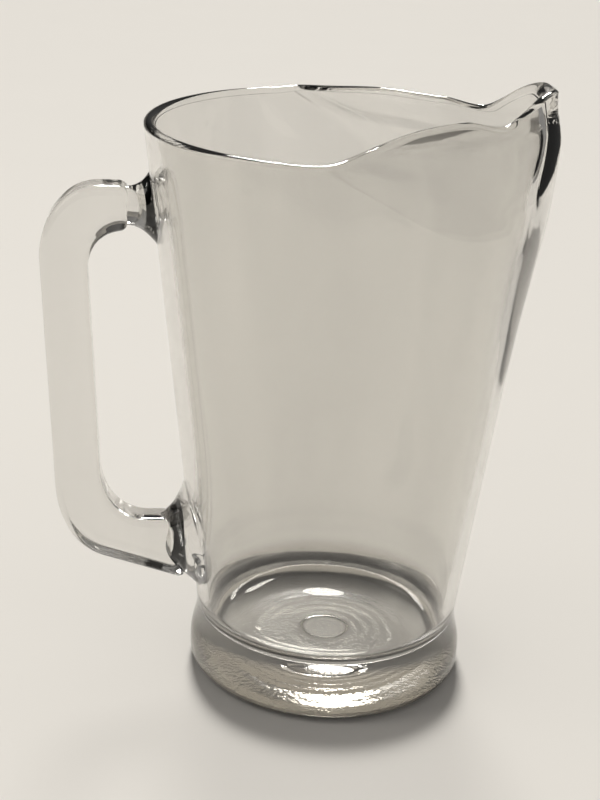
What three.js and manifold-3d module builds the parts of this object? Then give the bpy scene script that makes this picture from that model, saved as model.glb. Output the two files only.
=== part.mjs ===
// A pressed-glass water jug: a tapered vessel with a pinched spout and a heavy foot,
// and a flat-sided bar handle fused to it through two flared pads.
// Millimetres, +Z up, the spout towards +X and the handle towards -X.
// The origin is on the vessel's axis, at the underside of its foot.
import * as THREE from "three";
import { mergeVertices } from "three/addons/utils/BufferGeometryUtils.js";
import Module from "manifold-3d";

const wasm = await Module();
wasm.setup();

// Vessel
const RIM_Z = 200; // height of the round part of the rim
const RIM_R = 68.6; // outer radius at the rim
const WAIST_Z = 24; // narrowest place, just above the foot
const WAIST_R = 47.7;
const WALL = 4;
const FOOT_R = 49.9;
const FOOT_EDGE_R = 6; // rounding of the foot's lower edge, inwards
const FOOT_EDGE_Z = 5; // and upwards
const FOOT_Z = 8; // height at which the foot is widest
const FLOOR_Z = 18; // top of the solid base
const FLOOR_CORNER_R = 8.5; // rounding between the floor and the wall, inwards
const FLOOR_CORNER_Z = 11; // and upwards
const TURN_STEPS = 84; // facets around the axis
const SPOUT_CROWD = 0.4; // how far the facets are drawn together towards the spout
const WALL_STEPS = 16; // rows of facets up the wall
const RIM_CROWD = 1.8; // above 1, the rows are closer together near the rim
const RIM_STEPS = 6; // facets over the rounded rim
const CORNER_STEPS = 5; // facets round the floor's corner
const CURVE_STEPS = 4; // facets on each curve of the foot
const TAPER = (RIM_R - WAIST_R) / (RIM_Z - WAIST_Z);

// Pinched cheeks on both sides of the spout
const CHEEK_ANGLE = THREE.MathUtils.degToRad(48.3); // direction that a cheek faces
const CHEEK_RIM_D = 40.4; // distance from the axis to the cheek at the rim
const CHEEK_TOP_Z = 206;
const CHEEK_BOTTOM_Z = 162; // where the cheek has run out into the cone
const LEDGE_BOTTOM_Z = 189; // just under the rim it steps in more steeply
const LEDGE_TOP_Z = 204;
const LEDGE_SHARE = 0.2; // part of the pinch that the step makes up
const SPOUT_ANGLE = THREE.MathUtils.degToRad(71.2); // direction that a spout's side faces
const SPOUT_D = 34; // distance from the axis to the spout's side at the rim
const SPOUT_OPENS = 22; // the spout's sides spread this much as they run out below
const SPOUT_SIDE_Z = 180; // and have run out here
const THROAT_BLEND = 4; // rounding between a cheek and the spout's side
const CORNER_BLEND = 6; // rounding where cheek and spout meet the cone
const TIP_BLEND = 14; // and at the very front of the spout
const PINCH_START_X = -22; // along the rim, from here towards +X
const CHEEK_TOP_X = 22;
const CHEEK_LIFT = 5.6; // the rim rises this much along the cheeks
const THROAT_X = 44;
const THROAT_DIP = 2; // dips a little at the throat
const SPOUT_LIFT = 10.9; // and rises this much along the spout
const SPOUT_BULGE = 2.7; // extra glass at the front of the spout
const BULGE_Z = 174;
const BULGE_REACH = 28;
const BULGE_HALF_ANGLE = 0.5;
const SPOUT_LEAN = 3; // the lip leans back in by this much
const SPOUT_WALL = 1.6; // the wall is this many times thicker behind the spout
const LEAN_FROM_Z = 196; // the lip's lean starts here
const LEAN_TO_Z = 214; // and is full here
const CHEEK_REACH = 1.2; // radians either side of its facing that a cheek's plane reaches
const SIDE_REACH = 1.25; // the same for a spout's side
const PINCH_FROM_Z = 90; // nothing below this height is reshaped

// Handle
const HANDLE_T = 14; // thickness across the flat sides
const HANDLE_EDGE = 3.2; // rounding along the edges
const GAP = 0.3; // clearance that stands for a fused joint
const JOINT_X = -73.2; // where the upper arm ends
const JOINT_TOP = 178.3;
const JOINT_BOTTOM = 163;
const PAD_STEPS = 40; // facets around a pad
const PAD_RINGS = 8;
const PAD_ROOT = 1.2; // pads start this far inside the wall and are cut back from it

const GLASS_COLOUR = 0xd9dcd3;

function material(name) {
  const glass = new THREE.MeshStandardMaterial({
    color: GLASS_COLOUR,
    roughness: 0.05,
    metalness: 0,
    transparent: true,
    opacity: 0.35,
  });
  glass.name = name;
  return glass;
}

function mesh(name, geometry) {
  const made = new THREE.Mesh(geometry, material("clear_glass"));
  made.name = name;
  return made;
}

function toSolid(geometry) {
  const bare = geometry.clone();
  bare.deleteAttribute("normal");
  bare.deleteAttribute("uv");
  const merged = mergeVertices(bare, 1e-3);
  const vertProperties = new Float32Array(merged.attributes.position.array);
  const triVerts = new Uint32Array(merged.index.array);
  return new wasm.Manifold(new wasm.Mesh({ numProp: 3, vertProperties, triVerts }));
}

function toGeometry(solid) {
  const made = solid.getMesh();
  const geometry = new THREE.BufferGeometry();
  const corners = new THREE.BufferAttribute(new Float32Array(made.vertProperties), 3);
  geometry.setAttribute("position", corners);
  geometry.setIndex(new THREE.BufferAttribute(new Uint32Array(made.triVerts), 1));
  geometry.computeVertexNormals();
  return geometry;
}

const smooth = THREE.MathUtils.smoothstep;

function blendedMin(a, b, size) {
  const near = Math.max(size - Math.abs(a - b), 0) / size;
  return Math.min(a, b) - (near * near * size) / 4;
}

function blendedMax(a, b, size) {
  return -blendedMin(-a, -b, size);
}

function coneRadius(z) {
  return WAIST_R + TAPER * (z - WAIST_Z);
}

// Distance from the axis to the pinched wall, at height z and angle from +X,
// on the surface that lies this deep under the outside.
function pinchedRadius(z, angle, depth) {
  const lerp = THREE.MathUtils.lerp;
  const front = Math.exp(-((angle / BULGE_HALF_ANGLE) ** 2));
  const swell = SPOUT_BULGE * Math.exp(-(((z - BULGE_Z) / BULGE_REACH) ** 2));
  const lean = SPOUT_LEAN * smooth(z, LEAN_FROM_Z, LEAN_TO_Z);
  const deep = depth * lerp(1, SPOUT_WALL, front * smooth(z, PINCH_FROM_Z, BULGE_Z));
  const cone = coneRadius(z) - deep;
  const ledge = smooth(z, LEDGE_BOTTOM_Z, LEDGE_TOP_Z);
  const fade = lerp(smooth(z, CHEEK_BOTTOM_Z, CHEEK_TOP_Z), ledge, LEDGE_SHARE);
  const cheekD = lerp(coneRadius(z) + CORNER_BLEND, CHEEK_RIM_D, fade) - depth;
  const off = Math.min(Math.abs(angle - CHEEK_ANGLE), CHEEK_REACH);
  const cheek = cheekD / Math.cos(off);
  const sideD = SPOUT_D + SPOUT_OPENS * (1 - smooth(z, SPOUT_SIDE_Z, CHEEK_TOP_Z)) - depth;
  const spoutSide = sideD / Math.cos(Math.min(Math.abs(angle - SPOUT_ANGLE), SIDE_REACH));
  const pinched = blendedMax(cheek, spoutSide, THROAT_BLEND);
  const blend = lerp(CORNER_BLEND, TIP_BLEND, front);
  return blendedMin(cone, pinched, blend) + (swell - lean) * front;
}

// How far the rim stands above its round part, where the rim passes x.
function rimLift(x) {
  const cheeks = CHEEK_LIFT * smooth(x, PINCH_START_X, CHEEK_TOP_X);
  const throat = THROAT_DIP * smooth(x, THROAT_X - 10, THROAT_X + 2);
  return cheeks - throat + SPOUT_LIFT * smooth(x, THROAT_X + 1, RIM_R);
}

// Moves a point of the round jug to where pinching the hot rim takes it.
function pinch(point) {
  const turnedR = Math.hypot(point.x, point.y);
  if (point.z < PINCH_FROM_Z) return;
  const angle = Math.abs(Math.atan2(point.y, point.x));
  const depth = THREE.MathUtils.clamp(coneRadius(point.z) - turnedR, 0, WALL);
  const rimX = pinchedRadius(CHEEK_TOP_Z, angle, depth) * Math.cos(angle);
  point.z += rimLift(rimX) * smooth(point.z, CHEEK_BOTTOM_Z, RIM_Z);
  const r = pinchedRadius(point.z, angle, depth);
  point.x *= r / turnedR;
  point.y *= r / turnedR;
}

// The round jug's section: out along the underside, up the outside, over the rim,
// down the inside and back to the axis along the floor.
function turnedProfile() {
  const path = new THREE.Path();
  path.moveTo(0, 0);
  const edgeR = FOOT_R - FOOT_EDGE_R;
  path.lineTo(edgeR, 0);
  path.absellipse(edgeR, FOOT_EDGE_Z, FOOT_EDGE_R, FOOT_EDGE_Z, -Math.PI / 2, 0);
  path.lineTo(FOOT_R, FOOT_Z);
  path.bezierCurveTo(FOOT_R, FOOT_Z + 6, WAIST_R, WAIST_Z - 8, WAIST_R, WAIST_Z);
  const points = path.getPoints(CURVE_STEPS);
  const rimMiddle = RIM_R - WALL / 2;
  const top = RIM_Z - WALL / 2;
  for (let i = WALL_STEPS - 1; i >= 0; i--) {
    const z = top - (top - WAIST_Z) * (i / WALL_STEPS) ** RIM_CROWD;
    points.push(new THREE.Vector2(coneRadius(z), z));
  }
  for (let i = 1; i < RIM_STEPS; i++) {
    const turn = (Math.PI * i) / RIM_STEPS;
    const r = rimMiddle + (WALL / 2) * Math.cos(turn);
    points.push(new THREE.Vector2(r, top + (WALL / 2) * Math.sin(turn)));
  }
  const cornerZ = FLOOR_Z + FLOOR_CORNER_Z;
  for (let i = 0; i <= WALL_STEPS; i++) {
    const z = top - (top - cornerZ) * (i / WALL_STEPS) ** RIM_CROWD;
    points.push(new THREE.Vector2(coneRadius(z) - WALL, z));
  }
  const cornerR = coneRadius(cornerZ) - WALL - FLOOR_CORNER_R;
  for (let i = 1; i <= CORNER_STEPS; i++) {
    const turn = (Math.PI / 2) * (i / CORNER_STEPS);
    const r = cornerR + FLOOR_CORNER_R * Math.cos(turn);
    points.push(new THREE.Vector2(r, cornerZ - FLOOR_CORNER_Z * Math.sin(turn)));
  }
  points.push(new THREE.Vector2(0, FLOOR_Z));
  return points;
}

// Turns a point about the axis, so that the facets sit closer together at the spout.
function crowdToSpout(point) {
  const r = Math.hypot(point.x, point.y);
  const even = Math.atan2(point.y, point.x);
  const turn = even - SPOUT_CROWD * Math.sin(even);
  point.set(r * Math.cos(turn), r * Math.sin(turn), point.z);
}

function vesselGeometry() {
  const geometry = new THREE.LatheGeometry(turnedProfile(), TURN_STEPS);
  geometry.rotateX(Math.PI / 2);
  const corners = geometry.getAttribute("position");
  const point = new THREE.Vector3();
  for (let i = 0; i < corners.count; i++) {
    point.fromBufferAttribute(corners, i);
    crowdToSpout(point);
    pinch(point);
    corners.setXYZ(i, point.x, point.y, point.z);
  }
  return geometry;
}

// The handle seen from its flat side, x across and z up.
function handleShape() {
  const shape = new THREE.Shape();
  shape.moveTo(JOINT_X, JOINT_TOP);
  shape.lineTo(-83, JOINT_TOP);
  shape.bezierCurveTo(-95, 178.2, -102.8, 166, -102.8, 153);
  shape.lineTo(-98.6, 70);
  shape.bezierCurveTo(-98, 57, -92, 46, -82, 42.6);
  shape.lineTo(-52, 33.2);
  shape.lineTo(-58, 57);
  shape.lineTo(-66, 57);
  shape.bezierCurveTo(-76, 57.3, -82.6, 65.5, -83, 77.5);
  shape.lineTo(-86.7, 148.5);
  shape.bezierCurveTo(-86.7, 158, -81.5, JOINT_BOTTOM, JOINT_X, JOINT_BOTTOM);
  shape.closePath();
  return shape;
}

// The handle, or the space that it takes with this much clearance all round.
function handleGeometry(clearance) {
  const geometry = new THREE.ExtrudeGeometry(handleShape(), {
    depth: HANDLE_T + 2 * clearance - 2 * HANDLE_EDGE,
    bevelEnabled: true,
    bevelThickness: HANDLE_EDGE,
    bevelSize: HANDLE_EDGE,
    bevelOffset: clearance - HANDLE_EDGE,
    bevelSegments: 4,
    curveSegments: 14,
  });
  geometry.translate(0, 0, HANDLE_EDGE - clearance - HANDLE_T / 2);
  geometry.rotateX(Math.PI / 2);
  return geometry;
}

// A trumpet lying along X: oval rings from the wall out to the handle. Its foot on the
// wall flares, and its skirt makes it wider below than above.
function padSolid(wall, tip) {
  const profile = [new THREE.Vector2(0, 0)];
  for (let i = 0; i <= PAD_RINGS; i++) profile.push(new THREE.Vector2(1, i / PAD_RINGS));
  profile.push(new THREE.Vector2(0, 1));
  const geometry = new THREE.LatheGeometry(profile, PAD_STEPS);
  const corners = geometry.getAttribute("position");
  const lerp = THREE.MathUtils.lerp;
  for (let i = 0; i < corners.count; i++) {
    const along = corners.getY(i);
    const slim = 1 - (1 - along) ** wall.flare;
    const z = lerp(wall.z, tip.z, slim) + corners.getX(i) * lerp(wall.high, tip.high, slim);
    const skirt = 1 - wall.skirt * (1 - slim) * corners.getX(i);
    const y = corners.getZ(i) * lerp(wall.wide, tip.wide, slim) * skirt;
    const rootX = -Math.sqrt((coneRadius(z) - PAD_ROOT) ** 2 - y * y);
    corners.setXYZ(i, lerp(rootX, tip.x, along), -y, z);
  }
  return toSolid(geometry);
}

// Everything inside the vessel's outer surface, grown by the joint's clearance.
function vesselKeepOut() {
  const reach = 30;
  const profile = [
    new THREE.Vector2(0, WAIST_Z - reach),
    new THREE.Vector2(WAIST_R + GAP, WAIST_Z - reach),
    new THREE.Vector2(WAIST_R + GAP, WAIST_Z),
    new THREE.Vector2(RIM_R + GAP, RIM_Z),
    new THREE.Vector2(0, RIM_Z),
  ];
  const geometry = new THREE.LatheGeometry(profile, TURN_STEPS);
  geometry.rotateX(Math.PI / 2);
  return toSolid(geometry);
}

const vessel = mesh("vessel", vesselGeometry());
const handle = mesh("handle", handleGeometry(0));
const keepOut = vesselKeepOut();
const handleSpace = toSolid(handleGeometry(GAP));

const upperWall = { z: 170, high: 15, wide: 11, flare: 2.4, skirt: 0.1 };
const upperTip = { x: JOINT_X + GAP, z: 170.6, high: 6.6, wide: 5.6 };
const upperPad = padSolid(upperWall, upperTip).subtract(keepOut).subtract(handleSpace);

// The lower pad's tip is buried in the handle, so its flare rises out of the arm.
const lowerWall = { z: 52.5, high: 22, wide: 23, flare: 2.4, skirt: 0.35 };
const lowerTip = { x: -66, z: 47.3, high: 8.5, wide: 5 };
const lowerPad = padSolid(lowerWall, lowerTip).subtract(keepOut).subtract(handleSpace);

const jug = new THREE.Group();
jug.name = "water_jug";
jug.add(vessel);
jug.add(handle);
jug.add(mesh("upper_handle_pad", toGeometry(upperPad)));
jug.add(mesh("lower_handle_pad", toGeometry(lowerPad)));

export default jug;
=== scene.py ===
# A pressed-glass water jug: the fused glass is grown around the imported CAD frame.
# Shapes are worked out in millimetres in the CAD frame and become metres in the mesh.
# Materials, lights and the camera are in metres throughout.
import math

import bmesh
import bpy
import numpy as np
from mathutils import Matrix, Vector


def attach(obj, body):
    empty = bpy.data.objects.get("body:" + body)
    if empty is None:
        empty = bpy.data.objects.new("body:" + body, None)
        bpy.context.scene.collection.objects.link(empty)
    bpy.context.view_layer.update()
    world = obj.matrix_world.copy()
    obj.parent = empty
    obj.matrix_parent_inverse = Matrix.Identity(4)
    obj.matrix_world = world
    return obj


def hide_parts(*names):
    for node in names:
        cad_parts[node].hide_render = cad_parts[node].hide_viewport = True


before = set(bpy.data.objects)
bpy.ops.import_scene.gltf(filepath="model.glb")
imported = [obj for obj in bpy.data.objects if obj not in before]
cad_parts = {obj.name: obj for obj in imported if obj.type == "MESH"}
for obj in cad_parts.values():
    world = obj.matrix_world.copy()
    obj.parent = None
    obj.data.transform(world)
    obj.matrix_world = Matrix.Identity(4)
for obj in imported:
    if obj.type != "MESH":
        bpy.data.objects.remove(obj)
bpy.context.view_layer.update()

MM = 0.001

# ---------------------------------------------------------------- vessel sizes, in mm
RIM_Z = 200.0  # height of the round part of the rim
RIM_R = 68.6
WAIST_Z = 24.0  # narrowest place, just above the foot
WAIST_R = 47.7
WALL = 4.0
FOOT_R = 49.9
FOOT_EDGE_R = 6.0  # rounding of the foot's lower edge, inwards
FOOT_EDGE_Z = 5.0  # and upwards
FOOT_Z = 8.0  # height at which the foot is widest
FOOT_LEAVES = 6.0  # how long the foot's curve stays upright at the foot
FOOT_ARRIVES = 8.0  # and at the waist
FLOOR_Z = 18.0
FLOOR_CORNER_R = 8.5
FLOOR_CORNER_Z = 11.0
TAPER = (RIM_R - WAIST_R) / (RIM_Z - WAIST_Z)

CHEEK_ANGLE = math.radians(48.3)  # direction that a cheek faces
CHEEK_REACH = 1.2  # radians either side of its facing that a cheek's plane reaches
CHEEK_RIM_D = 40.4  # distance from the axis to the cheek at the rim
CHEEK_TOP_Z = 206.0
CHEEK_BOTTOM_Z = 162.0  # where the cheek has run out into the cone
LEDGE_BOTTOM_Z = 189.0  # just under the rim the cheek steps in more steeply
LEDGE_TOP_Z = 204.0
LEDGE_SHARE = 0.2  # part of the pinch that this step makes up
SPOUT_ANGLE = math.radians(71.2)  # direction that a spout's side faces
SIDE_REACH = 1.25  # radians either side of its facing that a spout's side reaches
SPOUT_D = 34.0  # distance from the axis to the spout's side at the rim
SPOUT_OPENS = 22.0  # the spout's sides spread this much as they run out below
SPOUT_SIDE_Z = 180.0  # and have run out here
THROAT_BLEND = 4.0  # rounding between a cheek and the spout's side
CORNER_BLEND = 6.0  # rounding where cheek and spout meet the cone
TIP_BLEND = 14.0  # and at the very front of the spout
PINCH_START_X = -22.0  # along the rim, from here towards +X
CHEEK_TOP_X = 22.0
CHEEK_LIFT = 5.6  # the rim rises this much along the cheeks
THROAT_X = 44.0
THROAT_FROM_X = THROAT_X - 10
THROAT_TO_X = THROAT_X + 2
SPOUT_FROM_X = THROAT_X + 1
THROAT_DIP = 2.0  # dips a little at the throat
SPOUT_LIFT = 10.9  # and rises this much along the spout
SPOUT_BULGE = 2.7  # extra glass at the front of the spout
BULGE_Z = 174.0
BULGE_REACH = 28.0
BULGE_HALF_ANGLE = 0.5
SPOUT_LEAN = 3.0  # the lip leans back in by this much
LEAN_FROM_Z = 196.0
LEAN_TO_Z = 214.0
SPOUT_WALL = 1.6  # the wall is this many times thicker behind the spout
PINCH_FROM_Z = 90.0  # nothing below this height is reshaped

# What the mould leaves under the foot and on the floor.
RECESS_R = 33.0
RECESS_SLOPE = (RECESS_R - 9, RECESS_R)
RECESS_DEPTH = 0.5
DISC_R = 8.7
DISC_LINE = 0.5  # half the width of the ring round the disc
DISC_LINE_DEPTH = 0.45
LOW_RINGS_START = (DISC_R, DISC_R + 3)
LOW_RINGS_END = (RECESS_R - 6, RECESS_R - 2)
LOW_RING_DEPTH = 0.03
LOW_RING_TURN = 1.5  # radians per millimetre outwards
FLOOR_RING_R = 30.0
FLOOR_RING_LINE = 1.8
FLOOR_RING_DEPTH = 0.1
DISH_SLOPE = (6.0, FLOOR_RING_R - 4)
DISH_DEPTH = 0.5
LEVEL = 0.01  # how far from a level face a point may be and still be on it

# The faint ripples in the inside wall fade out towards the outside, the rim and the floor.
RIPPLE = 0.09
UPRIGHT_RIPPLES = (  # share, how many go round, phase in radians, turn per millimetre upwards
    (0.5, 9, 0.6, 0.0),
    (0.35, 17, 2.1, 0.01),
    (0.25, 26, 4.0, -0.013),
)
LEVEL_RIPPLE = 0.35
LEVEL_RIPPLE_TURN = 0.11
RIPPLE_FROM_DEPTH = WALL * 0.6
RIPPLE_UNDER_RIM = (2.0, 12.0)
RIPPLE_ABOVE_FLOOR = (40.0, 110.0)

# Points on each stretch of the vessel's profile, and around its axis.
UNDER_STEPS = 70
EDGE_STEPS = 14
FOOT_STEPS = 20
WALL_STEPS = 130
RIM_STEPS = 15
CORNER_STEPS = 18
FLOOR_STEPS = 50
TURN_STEPS = 360
RIM_CROWD = 1.8  # above 1, the rows are closer together near the rim
TIP_R = 0.5  # the first and last ring, which a fan of triangles closes
EDGE_GAP = 0.6  # a level stretch stops this short of the arc that follows it
CORNER_GAP = 0.8

# ---------------------------------------------------------------- handle sizes, in mm
HANDLE_T = 14.0  # thickness across the flat sides
HANDLE_EDGE = 3.2  # rounding along the edges
HANDLE_LEAST_EDGE = 0.4
HANDLE_STEPS = 260
SECTION_STEPS = 40
JOINT_X = -73.2  # where the upper arm ends
JOINT_TOP = 178.3
JOINT_BOTTOM = 163.0
PAD_ROOT = 1.6  # pads start this far inside the wall
PAD_OVERLAP = 1.0  # and end this far inside the handle
PAD_DOME = 0.5  # the middle of a pad's hidden end stands out this much
PAD_RINGS = 40
PAD_STEPS = 96
# A pad is an oval that slims from the wall to its tip; its skirt makes it wider below.
UPPER_WALL = {"z": 170.0, "high": 15.0, "wide": 11.0, "flare": 2.4, "skirt": 0.1}
UPPER_TIP = {"x": JOINT_X, "z": 170.6, "high": 6.6, "wide": 5.6}
LOWER_WALL = {"z": 52.5, "high": 22.0, "wide": 23.0, "flare": 2.4, "skirt": 0.35}
LOWER_TIP = {"x": -66.0, "z": 47.3, "high": 8.5, "wide": 5.0}

WELD = 2e-6  # metres: corners of the fused mesh that are closer than this become one
SHARP = math.radians(40.0)  # edges that bend more than this stay sharp

# ---------------------------------------------------------------- finishes, with lengths in metres
# A pair of heights or of distances from the axis is where an effect starts and where it is full.
GLASS_IOR = 1.5
GLASS_ROUGHNESS = 0.006
GLASS_TINT = (0.89, 0.882, 0.86)
STREAK_TINT = [c * 0.84 for c in GLASS_TINT]
STREAKS = (34, 34, 5)  # the streaks are fine across the wall and long up it
WALL_GRAIN = (60.0, 0.00002)  # scale and height
PAD_GRAIN = (90.0, 0.00003)
# Painted shade: the side of the foot is painted this much darker, outside the radius pair and below
# the height pair.
FOOT_PAINTED_SHADE = (0.5, 0.47, 0.415)
FOOT_PAINTED_SHADE_R = (0.040, 0.045)
FOOT_PAINTED_SHADE_Z = (0.026, 0.016)
PIP_SCALE = 900.0
PIP_HEIGHT = 2.5  # times the grain's height
PIP_Z = (0.0016, 0.0010)
PIP_ROUGHNESS = 0.05
SHADOW_Z = (0.010, 0.020)
SHADOW_TONE = (0.06, 0.94)  # the light that one surface passes, at the foot and above it
BENEATH_Z = (0.0025, 0.0012)
BENEATH_R = (0.043, 0.040)
PAPER = (0.80, 0.775, 0.735)
PAPER_MOTTLE = [c * 0.985 for c in PAPER]
FLOOR_DROP = -0.0003  # the floor lies a hair under the foot, so that the two don't share a plane


# ---------------------------------------------------------------- small numeric helpers
def smoothstep(x, low, high):
    t = np.clip((x - low) / (high - low), 0.0, 1.0)
    return t * t * (3.0 - 2.0 * t)


def lerp(a, b, t):
    return a + (b - a) * t


def blended_min(a, b, size):
    near = np.maximum(size - np.abs(a - b), 0.0) / size
    return np.minimum(a, b) - near * near * size / 4.0


def blended_max(a, b, size):
    return -blended_min(-a, -b, size)


def hump(x, middle, reach):
    """1 at the middle, and falling smoothly away on both sides."""
    return np.exp(-(((x - middle) / reach) ** 2))


def bezier(p0, p1, p2, p3, steps):
    t = np.linspace(0.0, 1.0, steps)[:, None]
    p0, p1, p2, p3 = (np.array(p, float) for p in (p0, p1, p2, p3))
    return (1 - t) ** 3 * p0 + 3 * t * (1 - t) ** 2 * p1 + 3 * t * t * (1 - t) * p2 + t**3 * p3


def line(p0, p1, steps):
    t = np.linspace(0.0, 1.0, steps)[:, None]
    return lerp(np.array(p0, float), np.array(p1, float), t)


def arc(cx, cz, rx, rz, start, end, steps):
    t = np.radians(np.linspace(start, end, steps))
    return np.stack([cx + rx * np.cos(t), cz + rz * np.sin(t)], 1)


def distance_along(points):
    steps = np.linalg.norm(np.diff(points, axis=0), axis=1)
    return np.concatenate([[0.0], np.cumsum(steps)])


def even(points, count):
    """The same open outline as evenly spaced points."""
    along = distance_along(points)
    at = np.linspace(0.0, along[-1], count)
    return np.stack([np.interp(at, along, points[:, k]) for k in range(points.shape[1])], 1)


# ---------------------------------------------------------------- making objects
def link_object(name, data):
    made = bpy.data.objects.new(name, data)
    bpy.context.scene.collection.objects.link(made)
    return made


def grid_mesh(name, rings, tip_start, tip_end):
    """A closed mesh from rings of points (rings, steps, 3), fanned shut at both ends."""
    count, steps = rings.shape[:2]
    verts = np.concatenate([rings.reshape(-1, 3), [tip_start, tip_end]]) * MM
    faces = []
    for i in range(count - 1):
        for j in range(steps):
            k = (j + 1) % steps
            faces.append((i * steps + j, i * steps + k, (i + 1) * steps + k, (i + 1) * steps + j))
    first, last = count * steps, count * steps + 1
    for j in range(steps):
        k = (j + 1) % steps
        faces.append((first, k, j))
        faces.append((last, (count - 1) * steps + j, (count - 1) * steps + k))
    mesh = bpy.data.meshes.new(name)
    mesh.from_pydata(verts.tolist(), [], faces)
    mesh.update()
    return link_object(name, mesh)


# ---------------------------------------------------------------- the vessel's surface
def cone_radius(z):
    return WAIST_R + TAPER * (z - WAIST_Z)


def pinched_radius(z, angle, depth):
    """Distance from the axis to the pinched wall, this deep under its outside."""
    front = hump(angle, 0.0, BULGE_HALF_ANGLE)
    swell = SPOUT_BULGE * hump(z, BULGE_Z, BULGE_REACH)
    lean = SPOUT_LEAN * smoothstep(z, LEAN_FROM_Z, LEAN_TO_Z)
    deep = depth * lerp(1.0, SPOUT_WALL, front * smoothstep(z, PINCH_FROM_Z, BULGE_Z))
    cone = cone_radius(z) - deep
    ledge = smoothstep(z, LEDGE_BOTTOM_Z, LEDGE_TOP_Z)
    fade = lerp(smoothstep(z, CHEEK_BOTTOM_Z, CHEEK_TOP_Z), ledge, LEDGE_SHARE)
    cheek_d = lerp(cone_radius(z) + CORNER_BLEND, CHEEK_RIM_D, fade) - depth
    cheek = cheek_d / np.cos(np.minimum(np.abs(angle - CHEEK_ANGLE), CHEEK_REACH))
    side_d = SPOUT_D + SPOUT_OPENS * (1 - smoothstep(z, SPOUT_SIDE_Z, CHEEK_TOP_Z)) - depth
    spout_side = side_d / np.cos(np.minimum(np.abs(angle - SPOUT_ANGLE), SIDE_REACH))
    pinched = blended_max(cheek, spout_side, THROAT_BLEND)
    blend = lerp(CORNER_BLEND, TIP_BLEND, front)
    return blended_min(cone, pinched, blend) + (swell - lean) * front


def rim_lift(x):
    """How far the rim stands above its round part, where it passes x."""
    cheeks = CHEEK_LIFT * smoothstep(x, PINCH_START_X, CHEEK_TOP_X)
    throat = THROAT_DIP * smoothstep(x, THROAT_FROM_X, THROAT_TO_X)
    return cheeks - throat + SPOUT_LIFT * smoothstep(x, SPOUT_FROM_X, RIM_R)


def pinch(p):
    """Moves points of the round jug to where pinching the hot rim takes them."""
    turned = np.hypot(p[:, 0], p[:, 1])
    moves = p[:, 2] >= PINCH_FROM_Z
    q = p[moves]
    angle = np.abs(np.arctan2(q[:, 1], q[:, 0]))
    depth = np.clip(cone_radius(q[:, 2]) - turned[moves], 0.0, WALL)
    rim_x = pinched_radius(CHEEK_TOP_Z, angle, depth) * np.cos(angle)
    z = q[:, 2] + rim_lift(rim_x) * smoothstep(q[:, 2], CHEEK_BOTTOM_Z, RIM_Z)
    grow = pinched_radius(z, angle, depth) / turned[moves]
    p[moves] = np.stack([q[:, 0] * grow, q[:, 1] * grow, z], 1)
    return p


def turned_profile():
    """Rows of (r, z) from the middle of the underside, round the rim, to the floor's middle."""
    top = RIM_Z - WALL / 2
    edge_r = FOOT_R - FOOT_EDGE_R
    corner_z = FLOOR_Z + FLOOR_CORNER_Z
    corner_r = cone_radius(corner_z) - WALL - FLOOR_CORNER_R
    under = line((TIP_R, 0), (edge_r - EDGE_GAP, 0), UNDER_STEPS)
    edge = arc(edge_r, FOOT_EDGE_Z, FOOT_EDGE_R, FOOT_EDGE_Z, -90, 0, EDGE_STEPS)
    foot_top = (FOOT_R, FOOT_Z + FOOT_LEAVES)
    waist_low = (WAIST_R, WAIST_Z - FOOT_ARRIVES)
    foot = bezier((FOOT_R, FOOT_Z), foot_top, waist_low, (WAIST_R, WAIST_Z), FOOT_STEPS)
    crowded = np.linspace(1, 0, WALL_STEPS)[1:-1] ** RIM_CROWD
    out_z = top - (top - WAIST_Z) * crowded
    outside = np.stack([cone_radius(out_z), out_z], 1)
    rim = arc(RIM_R - WALL / 2, top, WALL / 2, WALL / 2, 0, 180, RIM_STEPS)
    in_z = (top - (top - corner_z) * crowded)[::-1]
    inside = np.stack([cone_radius(in_z) - WALL, in_z], 1)
    corner = arc(corner_r, corner_z, FLOOR_CORNER_R, FLOOR_CORNER_Z, 0, -90, CORNER_STEPS)
    floor = line((corner_r - CORNER_GAP, FLOOR_Z), (TIP_R, FLOOR_Z), FLOOR_STEPS)
    return np.concatenate([under, edge, foot, outside, rim, inside, corner, floor])


def moulded_relief(r, z):
    """What the mould leaves under the foot and on the floor: a recess, a disc and low rings."""
    recess = RECESS_DEPTH * (1 - smoothstep(r, *RECESS_SLOPE))
    low_rings = LOW_RING_DEPTH * np.cos(r * LOW_RING_TURN)
    low_rings *= 1 - smoothstep(r, *LOW_RINGS_END)
    low_rings *= smoothstep(r, *LOW_RINGS_START)
    below = recess + DISC_LINE_DEPTH * hump(r, DISC_R, DISC_LINE) + low_rings
    groove = FLOOR_RING_DEPTH * hump(r, FLOOR_RING_R, FLOOR_RING_LINE)
    dish = DISH_DEPTH * (1 - smoothstep(r, *DISH_SLOPE))
    on_floor = np.abs(z - FLOOR_Z) < LEVEL
    return np.where(z < LEVEL, below, np.where(on_floor, -groove - dish, 0.0))


def waves(z, angle):
    """The faint upright ripples that pressing leaves in the inside wall."""
    upright = 0.0
    for share, count, phase, turn in UPRIGHT_RIPPLES:
        upright = upright + share * np.sin(count * angle + phase + z * turn)
    level = LEVEL_RIPPLE * np.sin(z * LEVEL_RIPPLE_TURN + 2 * np.sin(angle * 2 + 1))
    return RIPPLE * (upright + level)


def inner_ripple(p):
    """How far each point of the round jug moves outwards for the ripples."""
    depth = cone_radius(p[:, 2]) - np.hypot(p[:, 0], p[:, 1])
    inner = smoothstep(depth, RIPPLE_FROM_DEPTH, WALL) * (p[:, 2] > FLOOR_Z + FLOOR_CORNER_Z)
    inner *= smoothstep(RIM_Z - p[:, 2], *RIPPLE_UNDER_RIM) * smoothstep(p[:, 2], *RIPPLE_ABOVE_FLOOR)
    return waves(p[:, 2], np.arctan2(p[:, 1], p[:, 0])) * inner


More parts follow.
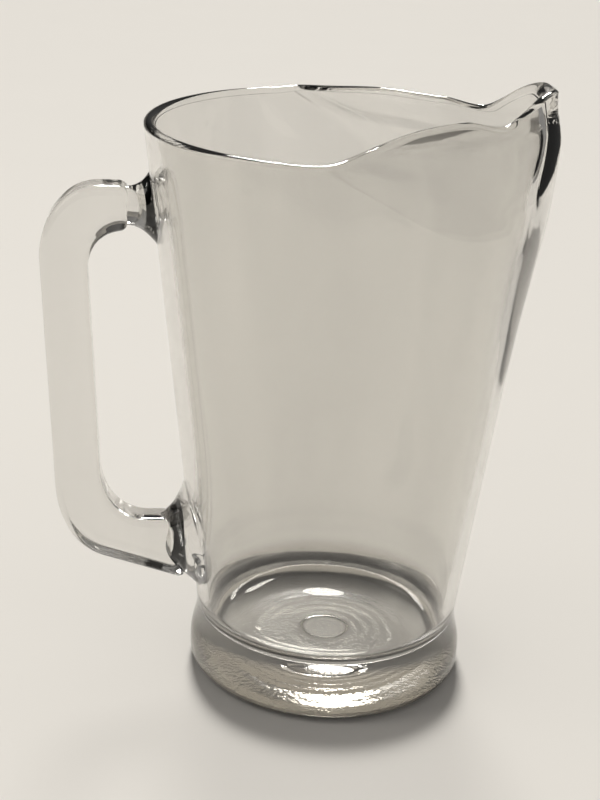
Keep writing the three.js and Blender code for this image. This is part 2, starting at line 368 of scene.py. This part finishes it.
def vessel_body():
    profile = turned_profile()
    angle = np.linspace(-math.pi, math.pi, TURN_STEPS, endpoint=False)
    r, z = profile[:, 0][:, None], profile[:, 1][:, None]
    rings = np.stack([r * np.cos(angle), r * np.sin(angle), z + 0 * angle], 2)
    points = rings.reshape(-1, 3)
    ripple = inner_ripple(points)
    points[:, 2] += moulded_relief(np.hypot(points[:, 0], points[:, 1]), points[:, 2])
    points = pinch(points)
    reach = np.maximum(np.hypot(points[:, 0], points[:, 1]), 1.0)
    points[:, :2] *= (1 + ripple / reach)[:, None]
    return grid_mesh("vessel_raw", points.reshape(rings.shape), (0, 0, 0), (0, 0, FLOOR_Z))


# ---------------------------------------------------------------- handle and pads
def handle_edges():
    """The handle's outer and inner outlines, from the upper joint to the lower, as (x, z)."""
    arm_top, back_top, back_low, arm_low = (-83, JOINT_TOP), (-102.8, 153), (-98.6, 70), (-82, 42.6)
    outer = np.concatenate([
        line((JOINT_X, JOINT_TOP), arm_top, 10),
        bezier(arm_top, (-95, 178.2), (-102.8, 166), back_top, 40),
        line(back_top, back_low, 60),
        bezier(back_low, (-98, 57), (-92, 46), arm_low, 40),
        line(arm_low, (-52, 33.2), 30),
    ])
    palm_top, palm_low, arm_under = (-86.7, 148.5), (-83, 77.5), (-66, 57)
    inner = np.concatenate([
        bezier((JOINT_X, JOINT_BOTTOM), (-81.5, JOINT_BOTTOM), (-86.7, 158), palm_top, 40),
        line(palm_top, palm_low, 60),
        bezier(palm_low, (-82.6, 65.5), (-76, 57.3), arm_under, 40),
        line(arm_under, (-58, 57), 10),
    ])
    return even(outer, HANDLE_STEPS), even(inner, HANDLE_STEPS)


def rounded_section(half_w, half_t, edge):
    """A rounded rectangle as (across, thickness) offsets, evenly spaced in its corners."""
    points = []
    for quarter in range(4):
        a = math.radians(90 * quarter) + np.linspace(0, math.pi / 2, SECTION_STEPS // 4)
        cx = (half_w - edge) * (1 if quarter in (0, 3) else -1)
        ct = (half_t - edge) * (1 if quarter in (0, 1) else -1)
        points.append(np.stack([cx + edge * np.cos(a), ct + edge * np.sin(a)], 1))
    return np.concatenate(points)


def handle_bar():
    outer, inner = handle_edges()
    middle = (outer + inner) / 2
    across = outer - inner
    width = np.linalg.norm(across, axis=1)
    across /= width[:, None]
    along = distance_along(middle)
    to_end = np.minimum(along, along[-1] - along)
    rings = []
    for i in range(HANDLE_STEPS):
        s = min(to_end[i] / HANDLE_EDGE, 1.0)
        inset = HANDLE_EDGE * (1 - math.sqrt(max(1 - (1 - s) ** 2, 0.0)))
        edge = max(HANDLE_EDGE - inset, HANDLE_LEAST_EDGE)
        section = rounded_section(width[i] / 2 - inset, HANDLE_T / 2 - inset, edge)
        xz = middle[i] + section[:, :1] * across[i]
        rings.append(np.stack([xz[:, 0], section[:, 1], xz[:, 1]], 1))
    tips = [(x, 0, z) for x, z in (middle[0], middle[-1])]
    return grid_mesh("handle_raw", np.array(rings), *tips)


def pad(name, wall, tip):
    """A trumpet of glass, from just inside the wall out to just inside the handle's end."""
    turn = np.linspace(0, 2 * math.pi, PAD_STEPS, endpoint=False)
    rings = []
    for along in np.linspace(0, 1, PAD_RINGS):
        slim = 1 - (1 - along) ** wall["flare"]
        half_y = lerp(wall["wide"], tip["wide"], slim)
        half_z = lerp(wall["high"], tip["high"], slim)
        mid_z = lerp(wall["z"], tip["z"], slim)
        skirt = 1 - wall["skirt"] * (1 - slim) * np.sin(turn)
        y, z = half_y * np.cos(turn) * skirt, mid_z + half_z * np.sin(turn)
        root = -np.sqrt((cone_radius(z) - PAD_ROOT) ** 2 - y * y)
        x = lerp(root, tip["x"] - PAD_OVERLAP, along)
        rings.append(np.stack([x, y, z], 1))
    tips = [rings[0].mean(0) + (PAD_DOME, 0, 0), rings[-1].mean(0)]
    return grid_mesh(name, np.array(rings), *tips)


# ---------------------------------------------------------------- shader nodes
def feed(tree, socket, value):
    """Sets a socket to a plain value, or links it to another node's output."""
    if isinstance(value, bpy.types.NodeSocket):
        tree.links.new(value, socket)
    else:
        socket.default_value = value


def combine(tree, operation, *values):
    """One arithmetic step on single numbers."""
    node = tree.nodes.new("ShaderNodeMath")
    node.operation = operation
    for socket, value in zip(node.inputs, values):
        feed(tree, socket, value)
    return node.outputs["Value"]


def multiply_vectors(tree, a, b):
    node = tree.nodes.new("ShaderNodeVectorMath")
    node.operation = "MULTIPLY"
    feed(tree, node.inputs[0], a)
    feed(tree, node.inputs[1], b)
    return node.outputs["Vector"]


def map_range(tree, value, source, result=(0.0, 1.0)):
    """The value moved from the source range to the result range, and held inside it."""
    node = tree.nodes.new("ShaderNodeMapRange")
    for name, limit in zip(("From Min", "From Max", "To Min", "To Max"), (*source, *result)):
        node.inputs[name].default_value = limit
    feed(tree, node.inputs["Value"], value)
    return node.outputs["Result"]


def between_colours(tree, share, low, high):
    node = tree.nodes.new("ShaderNodeMapRange")
    node.data_type = "FLOAT_VECTOR"
    to_min, to_max = node.inputs[9], node.inputs[10]
    to_min.default_value = low
    to_max.default_value = high
    feed(tree, node.inputs["Vector"], share)
    return node.outputs["Vector"]


def noise(tree, place, scale, detail):
    node = tree.nodes.new("ShaderNodeTexNoise")
    node.inputs["Scale"].default_value = scale
    node.inputs["Detail"].default_value = detail
    feed(tree, node.inputs["Vector"], place)
    return node.outputs["Fac"]


def position(tree):
    return tree.nodes.new("ShaderNodeNewGeometry").outputs["Position"]


def component(tree, vector, axis):
    node = tree.nodes.new("ShaderNodeSeparateXYZ")
    feed(tree, node.inputs["Vector"], vector)
    return node.outputs[axis]


def distance_from_axis(tree, place):
    node = tree.nodes.new("ShaderNodeVectorMath")
    node.operation = "LENGTH"
    feed(tree, node.inputs[0], multiply_vectors(tree, place, (1, 1, 0)))
    return node.outputs["Value"]


def new_material(name):
    made = bpy.data.materials.new(name)
    made.use_nodes = True
    return made, made.node_tree, made.node_tree.nodes["Principled BSDF"]


# ---------------------------------------------------------------- materials
def glass_material(name, grain, pips=False):
    """Clear glass with faint streaks, a fine grain and, where it is asked for, pips beneath."""
    made, tree, shader = new_material(name)
    shader.inputs["Transmission Weight"].default_value = 1.0
    shader.inputs["IOR"].default_value = GLASS_IOR
    place = position(tree)
    height = component(tree, place, "Z")
    radius = distance_from_axis(tree, place)
    streaks = noise(tree, multiply_vectors(tree, place, STREAKS), scale=1.0, detail=3.0)
    tint = between_colours(tree, streaks, STREAK_TINT, GLASS_TINT)
    # the tint, with painted shade on the side of the foot
    tint_with_painted_shade = multiply_vectors(tree, tint, painted_foot_shade(tree, height, radius))
    feed(tree, shader.inputs["Base Color"], tint_with_painted_shade)
    grain_scale, grain_height = grain
    bumps = noise(tree, place, grain_scale, detail=2.0)
    rough = map_range(tree, streaks, (0.0, 1.0), (GLASS_ROUGHNESS * 0.5, GLASS_ROUGHNESS * 1.5))
    if pips:
        low = map_range(tree, height, PIP_Z)
        bumps = add_pips(tree, place, low, bumps)
        rough = combine(tree, "MULTIPLY_ADD", low, PIP_ROUGHNESS, rough)
    feed(tree, shader.inputs["Roughness"], rough)
    bump = tree.nodes.new("ShaderNodeBump")
    bump.inputs["Strength"].default_value = 1.0
    bump.inputs["Distance"].default_value = grain_height
    feed(tree, bump.inputs["Height"], bumps)
    feed(tree, shader.inputs["Normal"], bump.outputs["Normal"])
    let_light_through(tree, shader, height, radius)
    return made


def painted_foot_shade(tree, height, radius):
    """Painted shade: the side of the solid foot, seen edge-on a long way through glass, is painted
    darker.
    """
    outer = map_range(tree, radius, FOOT_PAINTED_SHADE_R)
    low = map_range(tree, height, FOOT_PAINTED_SHADE_Z)
    return between_colours(tree, combine(tree, "MULTIPLY", outer, low), (1, 1, 1), FOOT_PAINTED_SHADE)


def add_pips(tree, place, low, bumps):
    """Fine pips all over the underside, where the mould is knurled."""
    cells = tree.nodes.new("ShaderNodeTexVoronoi")
    cells.inputs["Scale"].default_value = PIP_SCALE
    feed(tree, cells.inputs["Vector"], place)
    strength = combine(tree, "MULTIPLY", low, PIP_HEIGHT)
    return combine(tree, "MULTIPLY_ADD", cells.outputs["Distance"], strength, bumps)


def let_light_through(tree, shader, height, radius):
    """Lamps shine through the glass, and each surface on the way takes a little."""
    through_side = map_range(tree, height, SHADOW_Z, SHADOW_TONE)
    low = map_range(tree, height, BENEATH_Z)
    through_base = combine(tree, "MULTIPLY", low, map_range(tree, radius, BENEATH_R))
    clear = tree.nodes.new("ShaderNodeBsdfTransparent")
    feed(tree, clear.inputs["Color"], combine(tree, "MAXIMUM", through_side, through_base))
    path = tree.nodes.new("ShaderNodeLightPath")
    mix = tree.nodes.new("ShaderNodeMixShader")
    feed(tree, mix.inputs[0], path.outputs["Is Shadow Ray"])
    feed(tree, mix.inputs[1], shader.outputs["BSDF"])
    feed(tree, mix.inputs[2], clear.outputs["BSDF"])
    feed(tree, tree.nodes["Material Output"].inputs["Surface"], mix.outputs["Shader"])


def paper_material(name):
    made, tree, shader = new_material(name)
    shader.inputs["Roughness"].default_value = 0.9
    shader.inputs["Specular IOR Level"].default_value = 0.1
    mottle = noise(tree, position(tree), scale=9.0, detail=2.0)
    feed(tree, shader.inputs["Base Color"], between_colours(tree, mottle, PAPER_MOTTLE, PAPER))
    return made


# ---------------------------------------------------------------- fuse, then name the pieces
def face_outward(obj):
    work = bmesh.new()
    work.from_mesh(obj.data)
    bmesh.ops.recalc_face_normals(work, faces=work.faces[:])
    work.to_mesh(obj.data)
    work.free()


def fuse(parts, materials):
    """One watertight surface from overlapping lumps; each face keeps its lump's material."""
    base, *others = parts
    for part, material in zip(parts, materials):
        part.data.materials.append(material)
        face_outward(part)
    for part in others:
        join = base.modifiers.new("join", "BOOLEAN")
        join.operation = "UNION"
        join.solver = "EXACT"
        join.material_mode = "TRANSFER"
        join.object = part
        bpy.context.view_layer.update()
        graph = bpy.context.evaluated_depsgraph_get()
        fused = bpy.data.meshes.new_from_object(base.evaluated_get(graph), depsgraph=graph)
        base.modifiers.clear()
        base.data = fused
    for part in others:
        bpy.data.objects.remove(part)
    return base


def take(fused, material, name):
    """The faces of one lump, as a piece of their own."""
    index = [m.name for m in fused.data.materials].index(material.name)
    work = bmesh.new()
    work.from_mesh(fused.data)
    others = [f for f in work.faces if f.material_index != index]
    bmesh.ops.delete(work, geom=others, context="FACES")
    bmesh.ops.remove_doubles(work, verts=work.verts[:], dist=WELD)
    loose = [v for v in work.verts if not v.link_faces]
    bmesh.ops.delete(work, geom=loose, context="VERTS")
    for f in work.faces:
        f.material_index = 0
        f.smooth = True
    for e in work.edges:
        if len(e.link_faces) == 2:
            e.smooth = e.calc_face_angle(0.0) < SHARP
    mesh = bpy.data.meshes.new(name)
    work.to_mesh(mesh)
    work.free()
    mesh.materials.append(material)
    return link_object(name, mesh)


vessel_glass = glass_material("vessel_glass", WALL_GRAIN, pips=True)
handle_glass = glass_material("handle_glass", WALL_GRAIN)
upper_glass = glass_material("upper_pad_glass", PAD_GRAIN)
lower_glass = glass_material("lower_pad_glass", PAD_GRAIN)

lumps = [
    vessel_body(),
    handle_bar(),
    pad("upper_raw", UPPER_WALL, UPPER_TIP),
    pad("lower_raw", LOWER_WALL, LOWER_TIP),
]
fused_glass = fuse(lumps, [vessel_glass, handle_glass, upper_glass, lower_glass])

PIECES = (
    ("vessel_body", vessel_glass, "vessel", "vessel_glass"),
    ("handle_bar", handle_glass, "handle", "handle_glass"),
    ("upper_pad", upper_glass, "upper_handle_pad", "handle_glass"),
    ("lower_pad", lower_glass, "lower_handle_pad", "handle_glass"),
)
for name, material, node, slot in PIECES:
    piece = take(fused_glass, material, name)
    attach(piece, "root")
    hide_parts(node)
bpy.data.objects.remove(fused_glass)


# ---------------------------------------------------------------- floor and backdrop
def sweep(name, near, far, bend, half_width, height):
    """A pale floor that curves up into a backdrop behind the jug."""
    bend_steps = 16
    rows = [(-near, FLOOR_DROP), (far, FLOOR_DROP)]
    for i in range(1, bend_steps + 1):
        turn = math.radians(90 * i / bend_steps)
        rows.append((far + bend * math.sin(turn), FLOOR_DROP + bend * (1 - math.cos(turn))))
    rows.append((far + bend, height))
    verts = [(x, y, z) for y, z in rows for x in (-half_width, half_width)]
    faces = [(2 * i, 2 * i + 1, 2 * i + 3, 2 * i + 2) for i in range(len(rows) - 1)]
    mesh = bpy.data.meshes.new(name)
    mesh.from_pydata(verts, [], faces)
    for polygon in mesh.polygons:
        polygon.use_smooth = True
    mesh.materials.append(paper_material("backdrop_paper"))
    link_object(name, mesh)


sweep("backdrop", near=5.0, far=2.6, bend=0.4, half_width=5.0, height=0.55)


# ---------------------------------------------------------------- light
def area_light(name, at, aim, size, power, colour):
    data = bpy.data.lights.new(name, "AREA")
    data.shape = "RECTANGLE"
    data.size, data.size_y = size
    data.energy = power
    data.color = colour
    made = link_object(name, data)
    made.location = at
    made.rotation_euler = (Vector(aim) - Vector(at)).to_track_quat("-Z", "Y").to_euler()


def lamp_behind(elevation, azimuth, spread, strength, colour):
    """A broad lamp far behind the jug, which throws its soft shadow towards the viewer."""
    data = bpy.data.lights.new("lamp_behind", "SUN")
    data.energy = strength
    data.angle = math.radians(spread)
    data.color = colour
    up, around = math.radians(elevation), math.radians(azimuth)
    toward = Vector((math.cos(up) * math.cos(around), math.cos(up) * math.sin(around), math.sin(up)))
    link_object("lamp_behind", data).rotation_euler = toward.to_track_quat("Z", "Y").to_euler()


def dim_room(overhead, side, colour):
    """A room that is bright overhead and to one side, and dark at table height."""
    world = bpy.data.worlds.new("room")
    world.use_nodes = True
    bpy.context.scene.world = world
    tree = world.node_tree
    toward = tree.nodes.new("ShaderNodeTexCoord").outputs["Generated"]
    from_above = map_range(tree, component(tree, toward, "Z"), *overhead)
    from_side = map_range(tree, component(tree, toward, "X"), *side)
    background = tree.nodes["Background"]
    feed(tree, background.inputs["Strength"], combine(tree, "MAXIMUM", from_above, from_side))
    background.inputs["Color"].default_value = colour


area_light(
    "window_left",
    at=(-1.1, -0.1, 1.0),
    aim=(0, 0, 0.1),
    size=(0.5, 0.9),
    power=2.5,
    colour=(1.0, 0.97, 0.92),
)
lamp_behind(elevation=39, azimuth=88, spread=16, strength=3.5, colour=(1.0, 0.98, 0.94))
dim_room(
    overhead=((0.15, 0.75), (0.02, 0.28)),
    side=((-0.4, 0.6), (0.01, 0.26)),
    colour=(1.0, 0.975, 0.94, 1),
)


# ---------------------------------------------------------------- camera
def camera(at, aim, roll, lens):
    at, aim, roll = Vector(at), Vector(aim), math.radians(roll)
    forward = (aim - at).normalized()
    right = forward.cross(Vector((0, 0, 1))).normalized()
    up = right.cross(forward)
    x_axis = right * math.cos(roll) + up * math.sin(roll)
    y_axis = up * math.cos(roll) - right * math.sin(roll)
    data = bpy.data.cameras.new("camera")
    data.lens = lens
    data.sensor_width = 36.0
    made = link_object("camera", data)
    turn = Matrix((x_axis, y_axis, -forward)).transposed().to_4x4()
    made.matrix_world = Matrix.Translation(at) @ turn
    bpy.context.scene.camera = made


camera(at=(-0.0636, -0.5181, 0.3048), aim=(-0.0127, 0.0016, 0.1007), roll=2.54, lens=71.25)

# ---------------------------------------------------------------- how light is traced
scene = bpy.context.scene
scene.view_settings.view_transform = "Standard"
scene.cycles.max_bounces = 24
scene.cycles.transmission_bounces = 24
scene.cycles.glossy_bounces = 12
scene.cycles.transparent_max_bounces = 24
scene.cycles.caustics_refractive = False
scene.cycles.caustics_reflective = False
scene.cycles.blur_glossy = 0.5
